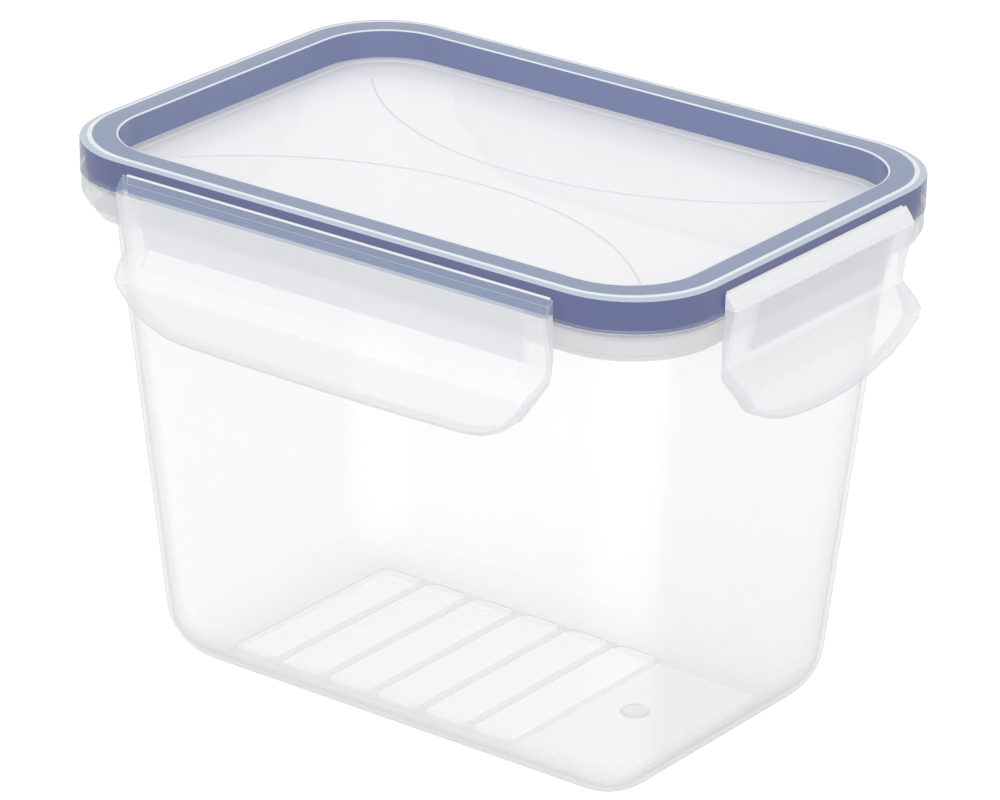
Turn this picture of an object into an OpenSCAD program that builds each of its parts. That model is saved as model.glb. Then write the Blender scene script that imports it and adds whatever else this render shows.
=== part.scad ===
// Snap lid food container: a deep tub, a clear lid with a seal, and four hinged clips.
// Origin at the centre of the base, +Z up, +X along the long side, millimetres.
// Rim features are given as (out, drop): out is measured outward from the side wall of
// the lid, and drop is measured down from the top of the lid.

/* [Overall] */
// Length of the lid
lid_l = 163; // [150:1:190]
// Width of the lid
lid_w = 114.6; // [105:0.2:135]
// Height from the base to the top of the lid
total_h = 125; // [80:1:180]
// Corner radius of the lid's side wall
lid_r = 21.6; // [20:0.2:26]

/* [Tub] */
// Wall thickness
wall_t = 1.5; // [1.2:0.1:1.8]
// Floor thickness
floor_t = 1.8; // [1.4:0.1:2.4]
// How far the foot of the tub stands in from the lid's side wall
base_inset = 15; // [11:0.5:18]
// Radius between the walls and the base
base_r = 14; // [8:1:16]
// Width of one floor bar
bar_w = 11.3; // [8:0.1:12]
// Distance from one floor bar to the next
bar_pitch = 13.3; // [13:0.1:15]
// How far the floor bars stand up
bar_h = 0.7; // [0.4:0.1:1.2]

/* [Lid] */
// Width of the raised frame round the panel
frame_w = 7.4; // [7:0.1:7.8]
// Depth of the panel below the top of the frame
panel_drop = 6.5; // [6:0.1:6.6]
// Thickness of the frame and the panel
lid_t = 1.2; // [1:0.1:1.3]
// Radius of the two curved ridges on the panel
ridge_r = 82; // [70:1:110]

/* [Clips] */
// Width of the clips on the long sides
long_clip_w = 114; // [100:1:116]
// Width of the clips on the short ends
short_clip_w = 66; // [56:1:68]
// Height of the clips' lower edge below the top of the lid
clip_drop = 36; // [34:0.5:40]
// Wall thickness of the clips
clip_t = 1.1; // [0.9:0.1:1.1]
// Thickness of the film hinges
film_t = 0.44; // [0.3:0.02:0.46]

/* [Hidden] */
$fn = 64;

clear_plastic = [0.92, 0.95, 0.96];
hazy_plastic = [0.88, 0.90, 0.91];
seal_blue = [0.42, 0.50, 0.66];

// The tub's wall just below the rim, and the drop at which the rim takes over from it
wall_out = -7.4;
rim_drop = 15.2;
// Corner radius of the panel recess, larger than an even frame width would give
panel_r = 17;
// The channel under the frame that holds the seal
channel_out = -lid_t;
channel_in = -6.2;
// Hinge line of the clips
hinge_out = 0.25;
hinge_drop = 2.6;
// Number of bars on the floor, and where the first one starts
bar_count = 6;
first_bar_x = -53;

// ---- Shared shapes ----

// A rounded rectangle with true round corners
module rounded_rect(l, w, r) {
    square([l - 2 * r, w], center = true);
    square([l, w - 2 * r], center = true);
    for (x = [-1, 1], y = [-1, 1])
        translate([x * (l / 2 - r), y * (w / 2 - r)])
            circle(r);
}

// A flat plate that follows the lid's outline, from one drop to another
module plate(out, r, drop_top, drop_bottom) {
    translate([0, 0, total_h - drop_bottom])
        linear_extrude(drop_bottom - drop_top)
            rounded_rect(lid_l + 2 * out, lid_w + 2 * out, r);
}

// Carries a section round the lid's outline. The section is drawn with x as out and
// y as minus drop.
module round_the_rim() {
    straight_x = lid_l - 2 * lid_r;
    straight_y = lid_w - 2 * lid_r;
    for (turn = [0, 180]) rotate(turn) {
        translate([lid_l / 2, straight_y / 2, total_h])
            rotate([90, 0, 0])
                linear_extrude(straight_y)
                    children();
        translate([-straight_x / 2, lid_w / 2, total_h])
            rotate([90, 0, 90])
                linear_extrude(straight_x)
                    children();
    }
    for (corner = [0:3])
        translate([
            (corner == 0 || corner == 3 ? 1 : -1) * straight_x / 2,
            (corner < 2 ? 1 : -1) * straight_y / 2,
            total_h
        ])
            rotate(corner * 90)
                rotate_extrude(angle = 90)
                    translate([lid_r, 0])
                        children();
}

// Points along an arc, from one angle to another
function arc(x, y, r, from, to, steps) = [
    for (i = [0:steps])
        let (a = from + (to - from) * i / steps)
            [x + r * cos(a), y + r * sin(a)]
];

// ---- Tub ----

// Solid between the base and the rim, drawn in by the draft of the walls. shell is the
// distance in from the outer face, and foot is the height of its underside.
module tub_body(shell, foot, top) {
    r = base_r - shell;
    foot_l = lid_l / 2 - base_inset - shell - r;
    foot_w = lid_w / 2 - base_inset - shell - r;
    top_r = lid_r + wall_out - shell;
    hull() {
        for (x = [-1, 1], y = [-1, 1]) {
            translate([x * foot_l, y * foot_w, foot + r])
                rotate_extrude($fn = 32)
                    intersection() {
                        circle(r, $fn = 32);
                        translate([0, -r])
                            square([r, r]);
                    }
            translate([
                x * (lid_l / 2 + wall_out - shell - top_r),
                y * (lid_w / 2 + wall_out - shell - top_r),
                top - 0.01
            ])
                cylinder(h = 0.01, r = top_r, $fn = 32);
        }
    }
}

// Section of the rim: sealing lip, shelf, skirt with its catch edge, and top of the wall
module rim_section() {
    inner = wall_out - wall_t;
    polygon([
        [-4.1, -3.6], [-3.3, -3.6], [-3.0, -3.9], [-3.0, -8.4],
        [-0.6, -8.4], [-0.3, -8.7], [-0.3, -12.0], [-1.2, -12.9],
        [-1.2, -13.8], [-1.9, -13.8], [-1.9, -9.8], [-6.9, -9.8],
        [wall_out, -10.1], [wall_out, -rim_drop], [inner, -rim_drop],
        [inner, -8.2], [-4.4, -8.2], [-4.4, -3.9]
    ]);
}

// One bar of the floor, with round ends
module floor_bar() {
    bar_l = lid_w - 2 * base_inset - 2 * base_r + 5;
    translate([0, 0, floor_t - 0.3])
        linear_extrude(bar_h + 0.3)
            rounded_rect(bar_w, bar_l, 3);
}

module container() {
    color(hazy_plastic) {
        difference() {
            tub_body(0.1, 0, total_h - rim_drop + 0.4);
            tub_body(wall_t - 0.1, floor_t, total_h - rim_drop + 0.5);
        }
        round_the_rim()
            rim_section();
        for (i = [0:bar_count - 1])
            translate([first_bar_x + bar_w / 2 + i * bar_pitch, 0, 0])
                floor_bar();
        // gate mark
        translate([37, 3, floor_t - 0.3])
            cylinder(h = 0.8, r = 3, $fn = 32);
    }
}

// ---- Lid and seal ----

// One of the two curved ridges, which bow towards the middle of the panel
module ridge(side) {
    intersection() {
        plate(-frame_w - 3, panel_r - 3, panel_drop - 0.25, panel_drop + 0.2);
        translate([0, side * (ridge_r + 5), total_h - panel_drop - 0.2])
            difference() {
                cylinder(h = 0.45, r = ridge_r, $fn = 96);
                translate([0, 0, -1])
                    cylinder(h = 3, r = ridge_r - 0.6, $fn = 96);
            }
    }
}

module lid() {
    skirt_drop = 8.0;
    color(clear_plastic) {
        difference() {
            union() {
                difference() {
                    plate(0, lid_r, 0, skirt_drop);
                    plate(channel_out, lid_r + channel_out, lid_t, skirt_drop + 1);
                }
                plate(channel_in, panel_r + 1.2, 0, panel_drop + lid_t);
            }
            plate(-frame_w, panel_r, -1, panel_drop);
        }
        for (side = [-1, 1])
            ridge(side);
    }
}

module seal() {
    color(seal_blue)
        difference() {
            plate(channel_out, lid_r + channel_out, lid_t, 7.4);
            plate(channel_in, panel_r + 1.2, lid_t - 1, 7.6);
            // groove over the lip of the tub
            difference() {
                plate(-2.6, lid_r - 2.6, 3.2, 7.6);
                plate(-4.8, lid_r - 4.8, 3, 8);
            }
        }
}

// ---- Clips ----

// Front view of a clip, drawn with x along the clip and y as minus drop. inset shrinks it.
module clip_outline(w, bow_r, corner_r, inset) {
    bow_y = bow_r - clip_drop;
    corner_x = w / 2 - corner_r;
    corner_y = bow_y - sqrt(pow(bow_r - corner_r, 2) - pow(corner_x, 2));
    tangent = atan2(corner_y - bow_y, corner_x);
    polygon(concat(
        [[w / 2 - inset, -hinge_drop]],
        arc(corner_x, corner_y, corner_r - inset, 0, tangent, 8),
        arc(0, bow_y, bow_r - inset, tangent, -180 - tangent, 12),
        arc(-corner_x, corner_y, corner_r - inset, -180 - tangent, -180, 8),
        [[inset - w / 2, -hinge_drop]]
    ));
}

// Outer face of a clip, from the film hinge down to the finger lip
outer_face = [
    [0.5, -hinge_drop], [3.4, -5.9], [1.1, -17.8], [1.1, -19.6],
    [5.0, -22.6], [6.6, -24.0], [6.6, -25.2], [5.0, -clip_drop]
];

// Section of the clip's wall
module clip_wall_section() {
    t = clip_t;
    polygon(concat(outer_face, [
        [5.0 - t, -clip_drop], [6.6 - t, -25.2], [6.6 - t, -24.6],
        [5.0 - t, -23.2], [1.1 - t, -20.1], [1.1 - t, -17.6],
        [3.2 - t, -6.9], [0.5, -4.2]
    ]));
}

// Section of the rim round a clip's edge, which reaches in from the outer face
module clip_rim_section() {
    polygon(concat(outer_face, [
        [2.4, -clip_drop], [3.2, -25.6], [0.1, -21.4], [0.1, -13], [0.5, -11.5]
    ]));
}

// A clip seen from its own side of the lid: x is out, y runs along the clip, and z is
// minus drop.
module clip(w, bow_r, corner_r, ledge_w) {
    rim_t = 1.3;
    module along(length)
        translate([0, length / 2, 0])
            rotate([90, 0, 0])
                linear_extrude(length)
                    children();
    module through()
        rotate([90, 0, 90])
            linear_extrude(10)
                children();
    color(clear_plastic) {
        intersection() {
            along(w)
                clip_wall_section();
            through()
                clip_outline(w, bow_r, corner_r, 0);
        }
        intersection() {
            along(w)
                clip_rim_section();
            through()
                difference() {
                    clip_outline(w, bow_r, corner_r, 0);
                    clip_outline(w, bow_r, corner_r, rim_t);
                }
        }
        // sloping ledge below the waist, between the two gussets
        along(ledge_w)
            polygon([[0.9, -17.8], [1.1, -17.8], [5.0, -22.6], [0.9, -19.8]]);
        // catch bead inside, level with the skirt's lower edge
        along(w - 12)
            polygon([[1.2, -11.6], [0.05, -12.8], [0.05, -13.8], [0.8, -14.8]]);
    }
}

// Puts a clip or hinge on its side of the lid: turn 0 is the right-hand end (+X)
module on_side(turn) {
    reach = turn % 180 == 0 ? lid_l / 2 : lid_w / 2;
    rotate(turn)
        translate([reach, 0, total_h])
            children();
}

module long_clip()
    clip(long_clip_w, 600, 20, 98);

module short_clip()
    clip(short_clip_w, 60, 10, 46);

module clip_front() on_side(-90) long_clip();
module clip_back() on_side(90) long_clip();
module clip_left() on_side(180) short_clip();
module clip_right() on_side(0) short_clip();

// Film hinge: a thin web out of the lid's wall, rounded along the hinge line
module film_hinge(w) {
    color(clear_plastic)
        translate([0, w / 2, -hinge_drop])
            rotate([90, 0, 0])
                linear_extrude(w) {
                    translate([0, -film_t / 2])
                        square([hinge_out, film_t]);
                    translate([hinge_out, 0])
                        circle(film_t / 2, $fn = 24);
                }
}

module hinge_front() on_side(-90) film_hinge(long_clip_w - 2);
module hinge_back() on_side(90) film_hinge(long_clip_w - 2);
module hinge_left() on_side(180) film_hinge(short_clip_w - 2);
module hinge_right() on_side(0) film_hinge(short_clip_w - 2);

container();
lid();
seal();
clip_front();
clip_back();
clip_left();
clip_right();
hinge_front();
hinge_back();
hinge_left();
hinge_right();
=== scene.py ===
# %% [markdown]
# # A snap lid food container
# The real thing is three mouldings: a milky tub, a clear lid with four clips hanging on
# film hinges, and a soft blue seal under the lid's frame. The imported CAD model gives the
# frame, the joints and every overall size. Here each moulding gets its softened edges,
# its thin walls and its plastic.

# %% Load the frame
import math

import bmesh
import bpy
from mathutils import Matrix, Vector


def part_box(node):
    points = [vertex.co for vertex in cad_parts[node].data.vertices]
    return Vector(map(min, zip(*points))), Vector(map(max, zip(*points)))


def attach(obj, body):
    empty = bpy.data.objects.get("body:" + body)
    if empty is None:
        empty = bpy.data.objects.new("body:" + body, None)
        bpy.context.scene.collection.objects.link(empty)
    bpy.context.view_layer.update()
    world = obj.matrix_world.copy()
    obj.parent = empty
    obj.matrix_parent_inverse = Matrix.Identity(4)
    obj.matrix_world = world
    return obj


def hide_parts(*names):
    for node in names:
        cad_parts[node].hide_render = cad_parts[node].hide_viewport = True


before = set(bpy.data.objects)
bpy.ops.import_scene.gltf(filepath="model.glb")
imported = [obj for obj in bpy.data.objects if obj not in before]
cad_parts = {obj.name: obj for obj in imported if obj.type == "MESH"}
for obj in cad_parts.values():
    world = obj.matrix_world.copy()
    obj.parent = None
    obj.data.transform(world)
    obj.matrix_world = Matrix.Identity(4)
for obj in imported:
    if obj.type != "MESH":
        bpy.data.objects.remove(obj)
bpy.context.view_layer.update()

print("nodes:", sorted(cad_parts))

# %% [markdown]
# ## Sizes
# Mouldings like this are drawn from the lid's side wall: how far out or in a feature is,
# and how far below the top it is. Both are given in millimetres here, as "out" and "drop",
# and turned into metres in one place.

# %% Main sizes
lid_low, lid_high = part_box("lid")
LID_L = lid_high.x - lid_low.x
LID_W = lid_high.y - lid_low.y
TOP = lid_high.z
MM = 0.001
LID_R = 21.6        # corner radius of the lid's side wall
CORNER_STEPS = 14   # facets in each round corner
print(f"lid {LID_L / MM:.1f} x {LID_W / MM:.1f} mm, top at {TOP / MM:.1f} mm")

# %% [markdown]
# ## One outline, many heights
# Tub rim, lid and seal all follow one rounded rectangle. So each is a stack of such
# outlines, joined one to the next. An outline starts as a single square face, is scaled to
# its size, and its four corners are rounded by a vertex bevel. Every outline then has the
# same number of points, so bridging two of them gives one clean row of faces.
#
# Some faces need a tint or a density of their own, such as those with the blue seal close
# behind them. Some marks also paint light and shade: highlights along rounded folds, shade
# on the clips' waists, and darker and paler blues on the lid's frame. Such a face carries a
# mark, a number from 0 to 1 in an attribute that the material reads, so the tint follows the
# shape. Separate materials were the other way, but a mark can fade.

# %% Outline and skin helpers
MARKS = (
    "deep",     # more plastic in the way, and on a clip's waist also painted shade
    "cloudy",   # evenly milky
    "clear",    # a bevel or a band that the seal shines through, on the lid's bevel also a painted highlight
    "shaded_side_blue",   # the frame's side, with the seal behind it, in a blue darkened as painted shade
    "flat",     # the frame's top, with the seal under it, in a blue lightened as painted light
    "recess",   # the frame's inner wall, and on a clip the ring that rolls into the rim
    "edge",     # a painted highlight: the bright line along a rounded fold
)


def start_mesh():
    """An empty mesh whose faces can carry marks, from 0 to 1, for the materials."""
    bm = bmesh.new()
    for mark in MARKS:
        bm.faces.layers.float.new(mark)
    return bm


def mark_faces(bm, mark, faces, value=1.0):
    """Gives some faces a mark."""
    layer = bm.faces.layers.float[mark]
    for face in faces:
        face[layer] = value


def outline(bm, out, drop, radius, keep_face=False):
    """One rounded rectangle. Returns its edges."""
    before = set(bm.verts)
    square = bmesh.ops.create_grid(bm, x_segments=1, y_segments=1, size=0.5)["verts"]
    size = (LID_L + 2 * out * MM, LID_W + 2 * out * MM, 1)
    bmesh.ops.scale(bm, verts=square, vec=size)
    bmesh.ops.translate(bm, verts=square, vec=(0, 0, TOP - drop * MM))
    bmesh.ops.bevel(bm, geom=square, offset=radius * MM, offset_type="OFFSET",
                    segments=CORNER_STEPS, profile=0.5, affect="VERTICES", material=-1)
    fresh = [v for v in bm.verts if v not in before]
    edges = list({e for v in fresh for e in v.link_edges})
    if not keep_face:
        face = list({f for v in fresh for f in v.link_faces})
        bmesh.ops.delete(bm, geom=face, context="FACES_ONLY")
    return edges


def skin(bm, rows, capped=False, ring=False):
    """Joins a stack of outlines, given as (out, drop, radius). They are bridged far
    apart, because bridging can't tell which way round two loops in one plane go, and
    then lowered into place. Returns the loops, and the faces between each two."""
    ends = (0, len(rows) - 1) if capped else ()
    loops = [outline(bm, out, -20 * i, radius, keep_face=i in ends)
             for i, (out, drop, radius) in enumerate(rows)]
    pairs = list(zip(loops, loops[1:])) + ([(loops[-1], loops[0])] if ring else [])
    walls = [bmesh.ops.bridge_loops(bm, edges=a + b)["faces"] for a, b in pairs]
    for loop, (out, drop, radius) in zip(loops, rows):
        for v in {v for e in loop for v in e.verts}:
            v.co.z = TOP - drop * MM
    return loops, walls


def face_out(bm):
    """Turns every face outwards. A ring or a thin shell can come out inside out."""
    bmesh.ops.recalc_face_normals(bm, faces=bm.faces)
    if bm.calc_volume(signed=True) < 0:
        bmesh.ops.reverse_faces(bm, faces=bm.faces)


def soften(bm, width, above=30):
    """Rounds every edge that folds by more than an angle in degrees, and marks it with the
    edge mark, which paints a highlight along it. Where a mesh has very short edges,
    clamp_overlap holds the whole width back. The tub and the clips have some, so their
    rounding comes out at only a few hundredths of a millimetre or less."""
    face_out(bm)
    sharp = [e for e in bm.edges if e.is_manifold
             and e.calc_face_angle(0) > math.radians(above)]
    made = bmesh.ops.bevel(bm, geom=sharp, offset=width * MM, offset_type="OFFSET",
                           segments=2, profile=0.5, affect="EDGES",
                           clamp_overlap=True, material=-1)
    # The edge mark paints a highlight, a bright line, along every rounded fold.
    mark_faces(bm, "edge", made["faces"])
    return len(sharp)


# %% Piece helper
SHARP_FOLD = 40     # an edge that still folds by more degrees than this is shaded sharp


def make_piece(bm, name, body, nodes, material):
    """Turns a finished bmesh into a piece that stands for CAD nodes."""
    bmesh.ops.remove_doubles(bm, verts=bm.verts, dist=1e-6)
    face_out(bm)
    for face in bm.faces:
        face.smooth = True
    for edge in bm.edges:
        edge.smooth = edge.calc_face_angle(0) < math.radians(SHARP_FOLD)
    open_edges = sum(not e.is_manifold for e in bm.edges)
    mesh = bpy.data.meshes.new(name)
    bm.to_mesh(mesh)
    bm.free()
    piece = bpy.data.objects.new(name, mesh)
    bpy.context.scene.collection.objects.link(piece)
    mesh.materials.append(material)
    even = piece.modifiers.new("even_normals", "WEIGHTED_NORMAL")
    even.keep_sharp = True
    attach(piece, body)
    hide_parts(*nodes)
    print(f"{name}: {len(mesh.polygons)} faces, {open_edges} open edges")


# %% [markdown]
# ## Plastic detail, shared
# Moulded polypropylene is never quite even: it is a little cloudier in some places, the
# gloss wavers, and the skin has a fine grain with faint flow lines. All clear mouldings
# share these effects, so they are one node group that puts out masks and a height. Each
# material decides what to do with them.

# %% Node group for moulded plastic
def new_group(name, inputs, outputs):
    group = bpy.data.node_groups.new(name, "ShaderNodeTree")
    for label, value in inputs:
        socket = group.interface.new_socket(label, in_out="INPUT", socket_type="NodeSocketFloat")
        socket.default_value = value
    for label in outputs:
        group.interface.new_socket(label, in_out="OUTPUT", socket_type="NodeSocketFloat")
    return group


def feed(links, socket, value):
    """Gives a socket a number or a colour, or links another node's output to it."""
    if isinstance(value, bpy.types.NodeSocket):
        links.new(value, socket)
    else:
        socket.default_value = value


def noise(nodes, links, coords, scale, detail, stretch=(1, 1, 1)):
    """A noise pattern on object coordinates, in cycles per metre."""
    mapping = nodes.new("ShaderNodeMapping")
    mapping.inputs["Scale"].default_value = stretch
    links.new(coords, mapping.inputs["Vector"])
    texture = nodes.new("ShaderNodeTexNoise")
    feed(links, texture.inputs["Scale"], scale)
    texture.inputs["Detail"].default_value = detail
    links.new(mapping.outputs["Vector"], texture.inputs["Vector"])
    return texture.outputs["Fac"]


def math_node(nodes, links, operation, a, b):
    node = nodes.new("ShaderNodeMath")
    node.operation = operation
    feed(links, node.inputs[0], a)
    feed(links, node.inputs[1], b)
    return node.outputs[0]


def ranged(nodes, links, value, low, high):
    """Turns a value from 0 to 1 into one from low to high."""
    node = nodes.new("ShaderNodeMapRange")
    links.new(value, node.inputs["Value"])
    feed(links, node.inputs["To Min"], low)
    feed(links, node.inputs["To Max"], high)
    return node.outputs[0]


def blended(nodes, links, factor, first, second):
    """The first colour where the factor is 0, the second where it is 1."""
    node = nodes.new("ShaderNodeMix")
    node.data_type = "RGBA"
    links.new(factor, node.inputs["Factor"])
    feed(links, node.inputs["A"], first)
    feed(links, node.inputs["B"], second)
    return node.outputs["Result"]


def add_bump(nodes, links, height, strength, shader):
    """Grain, a fifth of a millimetre deep at full strength."""
    bump = nodes.new("ShaderNodeBump")
    bump.inputs["Strength"].default_value = strength
    bump.inputs["Distance"].default_value = 0.2 * MM
    links.new(height, bump.inputs["Height"])
    links.new(bump.outputs["Normal"], shader.inputs["Normal"])


moulding = new_group("moulding_detail", [("Cloud Size", 30.0), ("Grain Size", 2200.0)],
                     ["Cloud", "Gloss", "Height"])
nodes, links = moulding.nodes, moulding.links
inlet = nodes.new("NodeGroupInput")
outlet = nodes.new("NodeGroupOutput")
coords = nodes.new("ShaderNodeTexCoord").outputs["Object"]

cloud = noise(nodes, links, coords, inlet.outputs["Cloud Size"], 4.0)
flow = noise(nodes, links, coords, 60.0, 2.0, stretch=(1, 1, 0.12))
grain = noise(nodes, links, coords, inlet.outputs["Grain Size"], 2.0)
soft_flow = math_node(nodes, links, "MULTIPLY", flow, 0.15)
links.new(cloud, outlet.inputs["Cloud"])
links.new(flow, outlet.inputs["Gloss"])
links.new(math_node(nodes, links, "ADD", soft_flow, grain), outlet.inputs["Height"])
print("group", moulding.name, "with", len(moulding.nodes), "nodes")

# %% [markdown]
# ## Clear and milky plastic
# Light goes through a thin wall of this plastic almost straight, and what is seen of it is
# the milky haze in the wall. Looked at edge on, there is more plastic in the way, so the
# wall turns denser and greyer. That is an alpha that rises with Layer Weight, a colour
# that cools at the edges, and a faint coat. Milky plastic scatters light rather than
# stopping it, so for shadows and bounced light the wall counts as far thinner. Full glass
# with refraction was the other way, but on walls this thin it only adds noise.

# %% Clear plastic materials
LIGHT_STOPPED = 0.3     # the part of its density that a wall keeps for passing light


def clear_plastic(name, face, slant, see, dense, narrow, roughness, haze, marks):
    """face and slant are the colours seen flat on and along the wall, see and dense the
    alphas, and narrow is the Layer Weight's blend between them. haze is how much the
    density wavers. marks gives the colour and alpha of the faces with each mark."""
    material = bpy.data.materials.new(name)
    material.use_nodes = True
    nodes, links = material.node_tree.nodes, material.node_tree.links
    shader = nodes["Principled BSDF"]
    shader.inputs["IOR"].default_value = 1.49
    shader.inputs["Coat Weight"].default_value = 0.1
    shader.inputs["Coat Roughness"].default_value = 0.25

    detail = nodes.new("ShaderNodeGroup")
    detail.node_tree = moulding
    facing = nodes.new("ShaderNodeLayerWeight")
    facing.inputs["Blend"].default_value = narrow

    wall = ranged(nodes, links, facing.outputs["Facing"], see, dense)
    cloud = ranged(nodes, links, detail.outputs["Cloud"], 1 - haze, 1 + haze)
    alpha = math_node(nodes, links, "MULTIPLY", wall, cloud)
    colour = blended(nodes, links, facing.outputs["Facing"], (*face, 1), (*slant, 1))
    for mark, (tint, solid) in marks.items():
        where = nodes.new("ShaderNodeAttribute")
        where.attribute_name = mark
        colour = blended(nodes, links, where.outputs["Fac"], colour, (*tint, 1))
        alpha = ranged(nodes, links, where.outputs["Fac"], alpha, solid)
    links.new(colour, shader.inputs["Base Color"])

    path = nodes.new("ShaderNodeLightPath")
    passing = math_node(nodes, links, "MAXIMUM", path.outputs["Is Shadow Ray"],
                        path.outputs["Is Diffuse Ray"])
    kept = ranged(nodes, links, passing, 1.0, LIGHT_STOPPED)
    links.new(math_node(nodes, links, "MULTIPLY", alpha, kept), shader.inputs["Alpha"])
    gloss = ranged(nodes, links, detail.outputs["Gloss"], roughness * 0.8, roughness * 1.25)
    links.new(gloss, shader.inputs["Roughness"])
    add_bump(nodes, links, detail.outputs["Height"], 0.05, shader)
    return material


# The frame's blues stand for the seal seen through the plastic, with painted shade and light in
# them: the side's blue is darkest, the top's paler, and the outer bevel's palest, a painted
# highlight. The edge mark paints bright highlight lines.
lid_plastic = clear_plastic(
    "lid_plastic", face=(0.95, 0.96, 0.97), slant=(0.85, 0.87, 0.90), see=0.05, dense=0.60,
    narrow=0.10, roughness=0.16, haze=0.10,
    marks={"cloudy": ((0.98, 0.98, 1.0), 0.66), "deep": ((0.82, 0.82, 0.85), 0.60),
           "shaded_side_blue": ((0.127, 0.150, 0.31), 0.75), "recess": ((0.205, 0.25, 0.44), 0.85),
           "flat": ((0.285, 0.35, 0.50), 0.88), "clear": ((0.58, 0.66, 0.78), 0.90),
           "edge": ((0.92, 0.97, 1.0), 0.92)})
# On the clips the deep mark also paints shade on the waist below the shoulder, and the edge mark
# paints white highlight lines along the folds.
clip_plastic = clear_plastic(
    "clip_frosted", face=(0.95, 0.95, 0.97), slant=(0.84, 0.85, 0.88), see=0.30, dense=0.90,
    narrow=0.25, roughness=0.22, haze=0.10,
    marks={"deep": ((0.74, 0.75, 0.79), 0.66), "clear": ((0.45, 0.56, 0.70), 0.25),
           "cloudy": ((0.96, 0.96, 0.98), 0.80), "recess": ((0.80, 0.80, 0.83), 0.62),
           "edge": ((1.0, 1.0, 1.0), 0.90)})
hinge_plastic = clear_plastic(
    "hinge_whitened", face=(1.0, 1.0, 1.0), slant=(0.96, 0.97, 1.0), see=0.85, dense=0.95,
    narrow=0.20, roughness=0.30, haze=0.08, marks={})
# On the tub the edge mark paints pale, denser highlight lines along the rounded folds.
tub_plastic = clear_plastic(
    "tub_plastic", face=(0.94, 0.94, 0.95), slant=(0.45, 0.45, 0.48), see=0.10, dense=0.90,
    narrow=0.15, roughness=0.32, haze=0.06,
    marks={"deep": ((0.66, 0.66, 0.68), 0.60), "cloudy": ((1.0, 1.0, 1.0), 0.22),
           "edge": ((0.90, 0.90, 0.92), 0.50)})
print("clear plastics made")

# %% [markdown]
# The seal is a soft elastomer: opaque, slate blue, satin, with a very fine grain from the
# mould and a faint dusty bloom that lightens it in patches.

# %% Seal material
seal_blue = bpy.data.materials.new("seal_blue")
seal_blue.use_nodes = True
nodes, links = seal_blue.node_tree.nodes, seal_blue.node_tree.links
shader = nodes["Principled BSDF"]
shader.inputs["Coat Weight"].default_value = 0.1
detail = nodes.new("ShaderNodeGroup")
detail.node_tree = moulding
detail.inputs["Cloud Size"].default_value = 45.0
tone = blended(nodes, links, detail.outputs["Cloud"],
               (0.075, 0.095, 0.250, 1), (0.100, 0.120, 0.290, 1))
links.new(tone, shader.inputs["Base Color"])
satin = ranged(nodes, links, detail.outputs["Gloss"], 0.38, 0.55)
links.new(satin, shader.inputs["Roughness"])
add_bump(nodes, links, detail.outputs["Height"], 0.2, shader)
print("seal material made")

# %% [markdown]
# ## The tub
# The tub is a deep box with drawn-in walls and one generous radius round its corners and
# its base. It is made the way it looks: a cube is scaled to size, its lower face is drawn
# in for the draft, the top is opened, and its upright and lower edges are bevelled at
# once. The same helper makes the outside and the inside.

# %% Tub skins
WALL_OUT = -7.4     # the wall just under the rim
WALL_T = 1.5        # wall thickness
RIM_DROP = 15.2     # where the rim starts
FOOT_IN = 15.0      # how far in the wall has come where the base radius starts
BASE_R = 14.0
FLOOR_T = 1.8


def tub_skin(bm, shell, foot, radius):
    """One skin of the tub, open at the top. Returns the edges of its opening."""
    before = set(bm.verts)
    rim_z = TOP / MM - RIM_DROP
    lean = (FOOT_IN + WALL_OUT) / (rim_z - BASE_R)
    box = bmesh.ops.create_cube(bm, size=1)["verts"]
    bmesh.ops.translate(bm, verts=box, vec=(0, 0, 0.5))
    wide = (LID_L / MM + 2 * (WALL_OUT - shell), LID_W / MM + 2 * (WALL_OUT - shell))
    bmesh.ops.scale(bm, verts=box, vec=(wide[0] * MM, wide[1] * MM, (rim_z - foot) * MM))
    bmesh.ops.translate(bm, verts=box, vec=(0, 0, foot * MM))
    low = [v for v in box if v.co.z < foot * MM + 1e-6]
    draw_in = 2 * lean * (rim_z - foot)
    bmesh.ops.scale(bm, verts=low,
                    vec=(1 - draw_in / wide[0], 1 - draw_in / wide[1], 1))
    fresh = [v for v in bm.verts if v not in before]
    faces = {f for v in fresh for f in v.link_faces}
    top = [f for f in faces if all(v.co.z > rim_z * MM - 1e-6 for v in f.verts)]
    bmesh.ops.delete(bm, geom=top, context="FACES_ONLY")
    edges = {e for v in fresh for e in v.link_edges if not e.is_boundary}
    bmesh.ops.bevel(bm, geom=list(edges), offset=radius * MM, offset_type="OFFSET",
                    segments=CORNER_STEPS, profile=0.5, affect="EDGES", material=-1)
    return [e for e in bm.edges if e.is_boundary and e.verts[0] not in before]


tub = start_mesh()
inner_mouth = tub_skin(tub, WALL_T, FLOOR_T, BASE_R - 3)
print("inside skin:", len(tub.faces), "faces, mouth of", len(inner_mouth), "edges")

# %% [markdown]
# The floor has broad raised bars across it, which keep food off the wet bottom. The flat
# floor face is cut into strips, each strip is inset, its corners are rounded, and a second
# inset lifts it with sloping sides. The bars are a little milkier than the gaps.

# %% Floor bars
BAR_PITCH = 13.3
BAR_START = -53.0
BAR_COUNT = 6
BAR_END = BAR_START + BAR_COUNT * BAR_PITCH
BAR_GAP = 0.8       # from a strip's edge to its bar
BAR_ROUND = 3.0     # corner radius of a bar
BAR_SLOPE = 0.5     # width of its sloping side
BAR_RISE = 0.7


def floor_faces(bm):
    """The flat faces level with the floor."""
    return [f for f in bm.faces if abs(f.normal.z) > 0.999
            and abs(f.calc_center_median().z - FLOOR_T * MM) < 1e-5]


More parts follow.
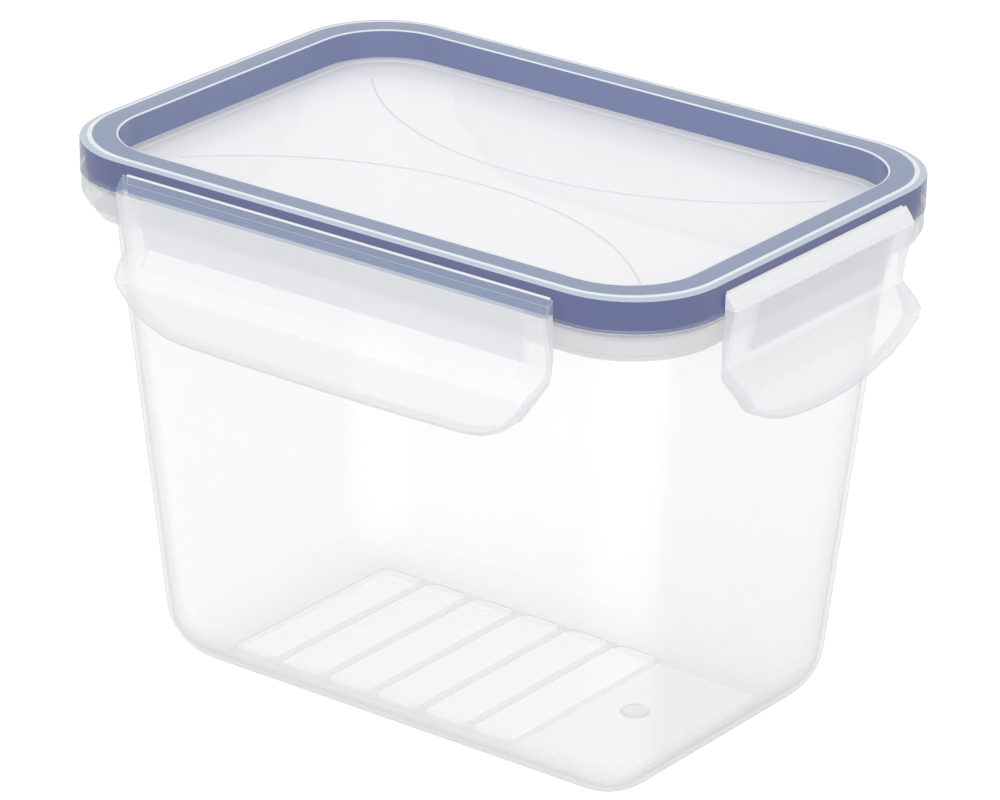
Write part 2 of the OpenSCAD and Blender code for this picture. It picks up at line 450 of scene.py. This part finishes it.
for i in range(1, BAR_COUNT + 1):
    cut = floor_faces(tub)
    geom = cut + list({e for f in cut for e in f.edges})
    geom += list({v for f in cut for v in f.verts})
    bmesh.ops.bisect_plane(tub, geom=geom, plane_no=(1, 0, 0),
                           plane_co=((BAR_START + i * BAR_PITCH) * MM, 0, 0))
strips = [f for f in floor_faces(tub) if f.calc_center_median().x < BAR_END * MM]
bmesh.ops.inset_individual(tub, faces=strips, thickness=BAR_GAP * MM, depth=0)
corners = [v for f in strips for v in f.verts]
bmesh.ops.bevel(tub, geom=corners, offset=BAR_ROUND * MM, offset_type="OFFSET", segments=5,
                profile=0.5, affect="VERTICES", material=-1)
bars = [f for f in floor_faces(tub) if len(f.verts) > 20]
between = [f for f in floor_faces(tub) if f not in bars
           and f.calc_center_median().x < BAR_END * MM]
sides = bmesh.ops.inset_individual(tub, faces=bars, thickness=BAR_SLOPE * MM,
                                   depth=-BAR_RISE * MM)
mark_faces(tub, "deep", between + sides["faces"], 0.6)
mark_faces(tub, "deep", bars, 0.0)
mark_faces(tub, "cloudy", bars)
print(len(strips), "strips,", len(bars), "bars")

# %% [markdown]
# Outside and inside skins meet at the rim. Going up the outside, the wall turns out into a
# shelf, a skirt drops from it with a sloping catch edge, and an upright lip stands on it
# that presses into the seal. The section is a list of (out, drop) corners, sharp as on a
# drawing. The edges are softened afterwards in one go. The wall is thickest at the foot
# of the base radius, so its mark fades from there up to the wall.

# %% Tub rim
RIM = [
    (-7.4, 10.1), (-6.9, 9.8), (-1.9, 9.8), (-1.9, 13.8), (-1.2, 13.8), (-1.2, 12.9),
    (-0.3, 12.0), (-0.3, 8.4), (-3.0, 8.4), (-3.0, 3.6), (-4.4, 3.6), (-4.4, 8.2),
    (-8.9, 8.2),
]
inside = set(tub.faces)
outer_mouth = tub_skin(tub, 0, 0, BASE_R)
for face in set(tub.faces) - inside:
    height = face.calc_center_median().z / MM
    if 0.1 < height < BASE_R:
        mark_faces(tub, "deep", [face], 0.5 * (1 - height / BASE_R))
rim, walls = skin(tub, [(out, drop, LID_R + out) for out, drop in RIM])
mark_faces(tub, "deep", walls[1] + walls[2] + walls[4] + walls[5] + walls[6])
bmesh.ops.bridge_loops(tub, edges=outer_mouth + rim[0])
bmesh.ops.bridge_loops(tub, edges=rim[-1] + inner_mouth)
rounded = soften(tub, 0.3)
print("rim edges rounded:", rounded)

# %% [markdown]
# A shallow round mark is left on the floor where the plastic entered the mould.

# %% Gate mark and tub piece
GATE_AT = (37, 3)   # along and across the tub, from its middle
gate = bmesh.ops.create_cone(tub, cap_ends=True, segments=32, radius1=3.4 * MM,
                             radius2=2.9 * MM, depth=0.6 * MM)["verts"]
mark_faces(tub, "deep", {f for v in gate for f in v.link_faces if len(f.verts) == 4})
bmesh.ops.translate(tub, verts=gate,
                    vec=(GATE_AT[0] * MM, GATE_AT[1] * MM, (FLOOR_T + 0.1) * MM))
make_piece(tub, "tub", "container", ["container"], tub_plastic)

# %% [markdown]
# ## The lid
# The lid is one skin folded into a frame: under it a channel holds the seal, and inside it
# the wall drops to the panel. The section runs from the middle of the panel's underside,
# out through the channel, over the frame, and back to the middle of the panel's top. Its
# first and last outlines keep their faces, which closes the panel. Real plastic this
# clear bends the blue of the seal into the frame's own faces. That refraction is stood for
# by marks, which tint the side, the top and the inner wall each in its own blue. These
# blues are also painted shade and painted light: the side's is darker as if shaded, the
# top's paler as if lit, and the outer bevel's paler still, a painted highlight.

# %% Lid skin
lid = start_mesh()
UNDER = [(-9.0, 7.7, 15.4), (-6.2, 7.7, 18.2), (-6.2, 1.2, 18.2), (-1.2, 1.2, 20.4),
         (-1.2, 8.0, 20.4)]
OVER = [(0.0, 8.0, 21.6), (0.0, 7.4, 21.6), (0.0, 0.4, 21.6), (-1.3, 0.1, 21.2),
        (-2.2, 0.0, 20.7), (-6.9, 0.0, 17.4), (-7.3, 0.0, 17.1), (-7.5, 6.5, 16.9),
        (-9.6, 6.5, 14.8), (-10.0, 6.75, 14.4)]
walls = skin(lid, UNDER + OVER, capped=True)[1]
# Painted shade and light in the seal's blue: the side darker, the outer bevel paler as a painted
# highlight, the top paler as if lit.
mark_faces(lid, "shaded_side_blue", walls[6])
mark_faces(lid, "clear", walls[7])
mark_faces(lid, "flat", walls[9])
mark_faces(lid, "recess", walls[11])
mark_faces(lid, "cloudy", [f for f in lid.faces if len(f.verts) > 4])
mark_faces(lid, "cloudy", walls[12] + walls[13])
# Painted highlights: bright lines along the two rounded folds of the frame's top; below the top
# they are taken off again.
mark_faces(lid, "edge", walls[8] + walls[10])
rounded = soften(lid, 0.35)
below_top = [f for f in lid.faces
             if TOP - 7.9 * MM < f.calc_center_median().z < TOP - 0.3 * MM]
mark_faces(lid, "edge", below_top, 0.0)
print("lid edges rounded:", rounded)

# %% [markdown]
# Two fine ridges bow across the panel from its long sides towards the middle. Each is a
# small section spun about the centre of its arc.

# %% Panel ridges
RIDGE_R = 82.0
RIDGE_REACH = 62.0      # how far along the lid its ends are from the middle
RIDGE_FROM_MIDDLE = 5.0
RIDGE_DROP = 6.8        # just below the panel's top, so that its foot is inside
plain = set(lid.faces)
for side in (-1, 1):
    centre = Vector((0, side * (RIDGE_R + RIDGE_FROM_MIDDLE) * MM, TOP - RIDGE_DROP * MM))
    half = math.asin(RIDGE_REACH / RIDGE_R)
    start = [lid.verts.new(centre + Vector((0, -side * (RIDGE_R - r) * MM, z * MM)))
             for r, z in ((0, 0), (0.6, 0), (0.45, 0.25), (0.15, 0.25))]
    face = lid.faces.new(start)
    bmesh.ops.rotate(lid, verts=start, cent=centre, matrix=Matrix.Rotation(half, 3, "Z"))
    spun = bmesh.ops.spin(lid, geom=[face] + list(face.edges) + start, cent=centre,
                          axis=(0, 0, 1), angle=-2 * half, steps=40, use_duplicate=False)
    print("ridge on side", side, "ends with", len(spun["geom_last"]), "elements")
mark_faces(lid, "deep", [f for f in lid.faces if f not in plain])
make_piece(lid, "lid_moulding", "lid", ["lid"], lid_plastic)

# %% [markdown]
# ## The seal
# The seal fills the channel and has a groove that the tub's lip presses into. It is a ring,
# so its section closes on itself.

# %% Seal ring
seal = start_mesh()
SEAL = [(-1.25, 1.3, 20.35), (-1.25, 7.4, 20.35), (-2.6, 7.4, 19.0), (-2.6, 3.2, 19.0),
        (-4.8, 3.2, 16.8), (-4.8, 7.4, 16.8), (-6.15, 7.4, 18.25), (-6.15, 1.3, 18.25)]
skin(seal, SEAL, ring=True)
soften(seal, 0.25)
make_piece(seal, "seal_ring", "lid", ["seal"], seal_blue)

# %% [markdown]
# ## The clips
# A clip is a thin plate with folds: a sloping shoulder below the film hinge, a hollow
# waist, a ledge and a finger lip, with a rim turned in round its edge. The flat front view
# comes first. It is cut along each fold line, and then every point is moved out to where
# the section puts it, so the folds are straight and the outline stays true.

# %% Clip sections, as (drop, out)
HINGE_DROP = 2.6
SHOULDER_DROP = 5.9     # where the shoulder turns down into the waist
WAIST_END = 17.8
OUTER = [(HINGE_DROP, 0.7), (SHOULDER_DROP, 3.4), (WAIST_END, 1.1), (19.6, 1.1),
         (22.6, 5.0), (24.0, 6.5), (25.2, 6.5), (36.4, 5.0)]
LEDGE = [(WAIST_END, 1.1), (22.6, 5.0)]
INNER = [(HINGE_DROP, 0.45), (4.4, 0.5), (6.9, 2.1), (17.6, 0.1), (20.1, 0.1),
         (23.2, 3.9), (24.6, 5.4), (25.2, 5.4), (36.4, 3.9)]
TURN_IN = [(HINGE_DROP, 0.5), (11.5, 0.5), (13.0, 0.1), (21.4, 0.1), (25.6, 3.2),
           (36.4, 2.4)]
FOLDS = sorted({drop for line in (OUTER, INNER, TURN_IN) for drop, out in line})


def out_at(line, drop):
    """How far out a section is at one drop, along straight lines between its corners."""
    for (d0, o0), (d1, o1) in zip(line, line[1:]):
        if drop <= d1 + 1e-9:
            return o0 + (o1 - o0) * (drop - d0) / (d1 - d0)
    return line[-1][1]


# %% [markdown]
# The front view is a face on a few points with its corners bevelled, drawn in the plane
# of x (out), y (along the clip) and z (down). Both faces of the plate come from it. The
# inner one is a little smaller, which leaves room for the turned-in rim. The outer one has
# a narrow ring inset round it, whose edge is drawn back a little to roll over into the rim.

# %% Clip plates
RING_W = 1.0        # width of that ring
ROLL_BACK = 0.35    # how far its outer edge is drawn back


def clip_plate(bm, points, rounding, cuts_along, shrink, place, ring=0):
    """One face of the plate, smaller by shrink, with a ring of that width round it if
    ring is given. Returns the edges of its outline."""
    before = set(bm.verts)
    corners = [bm.verts.new((0, y * MM, -z * MM)) for y, z in points]
    bm.faces.new(corners)
    for corner, radius in zip(corners, rounding):
        if radius:
            bmesh.ops.bevel(bm, geom=[corner], offset=radius * MM, offset_type="OFFSET",
                            segments=6, profile=0.5, affect="VERTICES", material=-1)
    half = max(y for y, z in points)
    deep = max(z for y, z in points)
    fresh = [v for v in bm.verts if v not in before]
    bmesh.ops.translate(bm, verts=fresh, vec=(0, 0, HINGE_DROP * MM))
    bmesh.ops.scale(bm, verts=fresh, vec=(1, 1 - shrink / half, 1 - shrink / deep))
    bmesh.ops.translate(bm, verts=fresh, vec=(0, 0, -HINGE_DROP * MM))
    if ring:
        face = [f for f in bm.faces if f.verts[0] not in before]
        bmesh.ops.inset_region(bm, faces=face, thickness=ring * MM, use_even_offset=True,
                               use_boundary=True)
        mark_faces(bm, "recess", [f for f in bm.faces if f not in face])
    planes = [((0, 0, -drop * MM), (0, 0, 1)) for drop in FOLDS[1:-1]]
    planes += [((0, y * MM, 0), (0, 1, 0)) for y in cuts_along]
    for at, normal in planes:
        own = [v for v in bm.verts if v not in before]
        geom = own + list({e for v in own for e in v.link_edges})
        geom += list({f for v in own for f in v.link_faces})
        bmesh.ops.bisect_plane(bm, geom=geom, plane_co=at, plane_no=normal, dist=1e-7)
    own = [v for v in bm.verts if v not in before]
    for v in own:
        v.co.x = place(v.co.y / MM, -v.co.z / MM) * MM
        if ring and v.is_boundary and -v.co.z > SHOULDER_DROP * MM:
            v.co.x -= ROLL_BACK * MM
    return [e for e in bm.edges if e.is_boundary and e.verts[0] not in before]


def turn_in(bm, edges):
    """Extrudes an outline back to the edge of the rim. Returns the new edges."""
    made = bmesh.ops.extrude_edge_only(bm, edges=edges)["geom"]
    for v in [g for g in made if isinstance(g, bmesh.types.BMVert)]:
        v.co.x = out_at(TURN_IN, -v.co.z / MM) * MM
    return [g for g in made if isinstance(g, bmesh.types.BMEdge) and g.is_boundary]


# %% Clip builder
GUSSET_W = 1.6      # the slope from the ledge's end up to the full section
INSIDE_IN = 1.3     # how much smaller the inner face is


def clip_mesh(points, rounding, ledge, clear_top):
    """A whole clip for the right-hand end, with x from the lid's side wall and z from
    the lid's top. ledge is half the ledge's length."""
    bm = start_mesh()

    def front(y, drop):
        if abs(y) <= ledge + 1e-6 and LEDGE[0][0] <= drop <= LEDGE[1][0]:
            return out_at(LEDGE, drop)
        return out_at(OUTER, drop)

    def back(y, drop):
        return out_at(INNER, drop)

    cuts = [-ledge - GUSSET_W, -ledge, ledge, ledge + GUSSET_W]
    edge_out = clip_plate(bm, points, rounding, cuts, 0, front, ring=RING_W)
    edge_in = clip_plate(bm, points, rounding, cuts, INSIDE_IN, back)
    bmesh.ops.bridge_loops(bm, edges=turn_in(bm, edge_out) + turn_in(bm, edge_in))
    bmesh.ops.remove_doubles(bm, verts=bm.verts, dist=2e-5)
    for face in bm.faces:
        centre = face.calc_center_median() / MM
        drop = -centre.z
        if drop < SHOULDER_DROP:
            mark_faces(bm, "clear" if clear_top else "cloudy", [face])
            mark_faces(bm, "recess", [face], 0.0)
        # Painted shade: the waist below the shoulder is greyer, as if in the shoulder's shadow,
        # and also denser where the tub's skirt lies behind it.
        if SHOULDER_DROP < drop < WAIST_END and abs(centre.y) < ledge + GUSSET_W:
            mark_faces(bm, "deep", [face], 0.6 if clear_top else 1.0)
    soften(bm, 0.28, above=14)
    return bm


# %% Front views of the clips, as (along, drop), and the rounding of their corners
LONG_CLIP = [(57, HINGE_DROP), (57, 35.0), (0, 36.4), (-57, 35.0), (-57, HINGE_DROP)]
LONG_ROUND = [0, 19, 30, 19, 0]
SHORT_CLIP = [(33, HINGE_DROP), (33, 26.5), (21, 33.4), (0, 36.4), (-21, 33.4),
              (-33, 26.5), (-33, HINGE_DROP)]
SHORT_ROUND = [0, 6, 7, 9, 7, 6, 0]

# %% [markdown]
# Each clip is built as if on the right-hand end, moved out to its own side wall and turned
# round the middle of the lid. The catch bead inside is a small bar across the clip, level
# with the lower edge of the tub's skirt. On the long clips the top band is clearer, and
# the seal shows through it.

# %% Four clips
SIDES = {
    "clip_right": (0, LID_L / 2, SHORT_CLIP, SHORT_ROUND, 23, False),
    "clip_back": (90, LID_W / 2, LONG_CLIP, LONG_ROUND, 49, True),
    "clip_left": (180, LID_L / 2, SHORT_CLIP, SHORT_ROUND, 23, False),
    "clip_front": (-90, LID_W / 2, LONG_CLIP, LONG_ROUND, 49, True),
}
BEAD = [(1.6, 11.6), (0.1, 12.8), (0.1, 13.7), (1.1, 14.8)]     # its section, as (out, drop)
BEAD_SHORT = 6      # how much shorter than the clip it is at each end
for name, (turn, reach, points, rounding, ledge, clear_top) in SIDES.items():
    bm = clip_mesh(points, rounding, ledge, clear_top)
    half = points[0][0] - BEAD_SHORT
    bead = [bm.verts.new((out * MM, -half * MM, -drop * MM)) for out, drop in BEAD]
    face = bm.faces.new(bead)
    grown = bmesh.ops.extrude_face_region(bm, geom=[face], use_keep_orig=True)["geom"]
    bmesh.ops.translate(bm, vec=(0, 2 * half * MM, 0),
                        verts=[g for g in grown if isinstance(g, bmesh.types.BMVert)])
    bmesh.ops.translate(bm, verts=bm.verts, vec=(reach, 0, TOP))
    bmesh.ops.rotate(bm, verts=bm.verts, cent=(0, 0, 0),
                     matrix=Matrix.Rotation(math.radians(turn), 3, "Z"))
    make_piece(bm, name + "_moulding", name, [name], clip_plastic)

# %% [markdown]
# The film hinges are thin webs that the CAD model already has at their true size, so they
# stay. This plastic turns white where it has been bent, so they get a whiter, denser finish.

# %% Film hinge material
for name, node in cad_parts.items():
    if name.startswith("hinge_"):
        node.data.materials.clear()
        node.data.materials.append(hinge_plastic)
        print(name, "gets", hinge_plastic.name)

# %% [markdown]
# ## Floor, light and camera
# The container stands on a plain pale floor under a bright, even studio sky, with one
# large soft light from the upper left and a weaker one from the right. The camera looks
# down a little at the front right corner, from far away with a long lens.

# %% Floor
FLOOR_BELOW = 0.3   # how far the floor is below the base, so that the two don't flicker
FLOOR_GLOW = 0.35   # lifts the floor to the sky's white where the camera sees it
floor_mesh = bpy.data.meshes.new("floor")
bm = bmesh.new()
sheet = bmesh.ops.create_grid(bm, x_segments=1, y_segments=1, size=6)["verts"]
bmesh.ops.translate(bm, verts=sheet, vec=(0, 0, -FLOOR_BELOW * MM))
bm.to_mesh(floor_mesh)
bm.free()
floor = bpy.data.objects.new("floor", floor_mesh)
bpy.context.scene.collection.objects.link(floor)
pale = bpy.data.materials.new("pale_floor")
pale.use_nodes = True
nodes, links = pale.node_tree.nodes, pale.node_tree.links
shader = nodes["Principled BSDF"]
shader.inputs["Roughness"].default_value = 0.9
shader.inputs["Specular IOR Level"].default_value = 0.0
coords = nodes.new("ShaderNodeTexCoord").outputs["Object"]
tone = blended(nodes, links, noise(nodes, links, coords, 3.0, 3.0),
               (0.93, 0.93, 0.93, 1), (0.95, 0.95, 0.95, 1))
links.new(tone, shader.inputs["Base Color"])
links.new(tone, shader.inputs["Emission Color"])
seen = nodes.new("ShaderNodeLightPath").outputs["Is Camera Ray"]
glow = math_node(nodes, links, "MULTIPLY", seen, FLOOR_GLOW)
links.new(glow, shader.inputs["Emission Strength"])
floor_mesh.materials.append(pale)
print("floor made")

# %% Light
SKY_LIGHT, SKY_SEEN = 0.73, 1.05    # its strength as light, and where the camera sees it
scene = bpy.context.scene
scene.view_settings.view_transform = "Standard"
scene.cycles.transparent_max_bounces = 48
sky = bpy.data.worlds.new("studio_sky")
scene.world = sky
sky.use_nodes = True
nodes, links = sky.node_tree.nodes, sky.node_tree.links
shine = nodes["Background"]
shine.inputs["Color"].default_value = (1, 1, 1, 1)
seen = nodes.new("ShaderNodeLightPath").outputs["Is Camera Ray"]
links.new(ranged(nodes, links, seen, SKY_LIGHT, SKY_SEEN), shine.inputs["Strength"])


def soft_light(name, place, size, power):
    lamp = bpy.data.lights.new(name, "AREA")
    lamp.size = size
    lamp.energy = power
    holder = bpy.data.objects.new(name, lamp)
    holder.location = place
    aim = Vector((0, 0, TOP / 2)) - Vector(place)
    holder.rotation_mode = "QUATERNION"
    holder.rotation_quaternion = aim.to_track_quat("-Z", "Y")
    scene.collection.objects.link(holder)
    print(name, "at", place)


soft_light("key_light", (-0.8, -0.7, 1.8), 2.0, 10)
soft_light("side_light", (1.2, -0.9, 0.7), 1.2, 5.5)

# %% Camera
AZIMUTH, ELEVATION, ROLL = 36.77, 22.67, 0.97
DISTANCE = 1.2457
LENS = 205.19
AIM_RIGHT, AIM_UP = 0.00074, 0.00406    # where it points, from the object's middle
azimuth, elevation, roll = (math.radians(a) for a in (AZIMUTH, ELEVATION, ROLL))
back = Vector((math.sin(azimuth) * math.cos(elevation),
               -math.cos(azimuth) * math.cos(elevation), math.sin(elevation)))
level = Vector((math.cos(azimuth), math.sin(azimuth), 0))
right = level * math.cos(roll) + back.cross(level) * math.sin(roll)
up = back.cross(right)
camera = bpy.data.objects.new("camera", bpy.data.cameras.new("camera"))
camera.data.lens = LENS
camera.data.sensor_width = 36
camera.matrix_world = Matrix.LocRotScale(
    Vector((0, 0, TOP / 2)) + back * DISTANCE + right * AIM_RIGHT + up * AIM_UP,
    Matrix((right, up, back)).transposed(), None)
scene.collection.objects.link(camera)
scene.camera = camera
print("camera", AZIMUTH, "round,", ELEVATION, "up")
